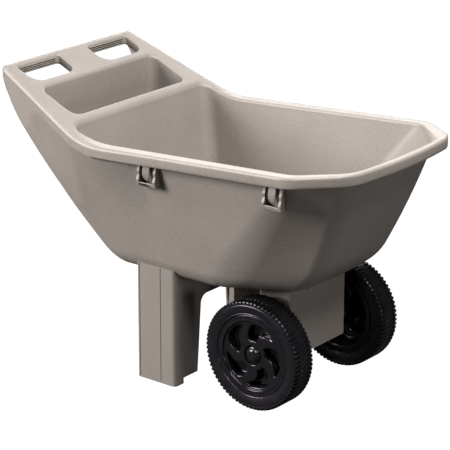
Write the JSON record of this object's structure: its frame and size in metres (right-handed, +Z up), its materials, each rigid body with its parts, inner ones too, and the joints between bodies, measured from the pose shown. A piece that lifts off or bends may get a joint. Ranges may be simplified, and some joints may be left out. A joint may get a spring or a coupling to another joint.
{
  "type": "garden cart",
  "caption": "Two-wheeled poly garden cart: taupe moulded tub with tool tray, hand holes and tool clips, on a two-legged rear stand and a steel axle with 10 in wheels.",
  "frame": {"origin": "on the ground under the middle of the cart's length and width", "axes": "+X points to the nose, -X to the handle end, +Z up, and -Y is the right side of a person standing at the handle"},
  "size_m": [0.99, 0.55, 0.6836],
  "materials": {
    "tub_plastic": "satin",
    "wheel_plastic": "gloss",
    "cap_plastic": "gloss",
    "bush_plastic": "matte",
    "tyre": "satin",
    "steel": "satin"
  },
  "bodies": {
    "frame": {"tub": "tub_plastic", "rear_stand": "tub_plastic", "axle_bracket": "tub_plastic", "axle": "steel", "right_spacer": "wheel_plastic", "left_spacer": "wheel_plastic", "right_washers": "steel", "left_washers": "steel", "right_push_nut": "steel", "left_push_nut": "steel", "right_rear_clip": "tub_plastic", "right_front_clip": "tub_plastic", "left_rear_clip": "tub_plastic", "left_front_clip": "tub_plastic", "clip_screws": "steel", "stand_bolts": "steel", "stand_nuts": "steel", "bracket_bolts": "steel", "bracket_nuts": "steel"},
    "right_wheel": {"right_rim": "wheel_plastic", "right_tyre": "tyre", "right_hub_bush": "bush_plastic", "right_hub_cap": "cap_plastic"},
    "left_wheel": {"left_rim": "wheel_plastic", "left_tyre": "tyre", "left_hub_bush": "bush_plastic", "left_hub_cap": "cap_plastic"}
  },
  "joints": [
    {"name": "right_wheel_turn", "type": "hinge", "parent": "frame", "child": "right_wheel", "pos_m": [0.219, -0.165, 0.127], "axis": [0, 1, 0], "continuous": true},
    {"name": "left_wheel_turn", "type": "hinge", "parent": "frame", "child": "left_wheel", "pos_m": [0.219, 0.165, 0.127], "axis": [0, 1, 0], "continuous": true}
  ]
}
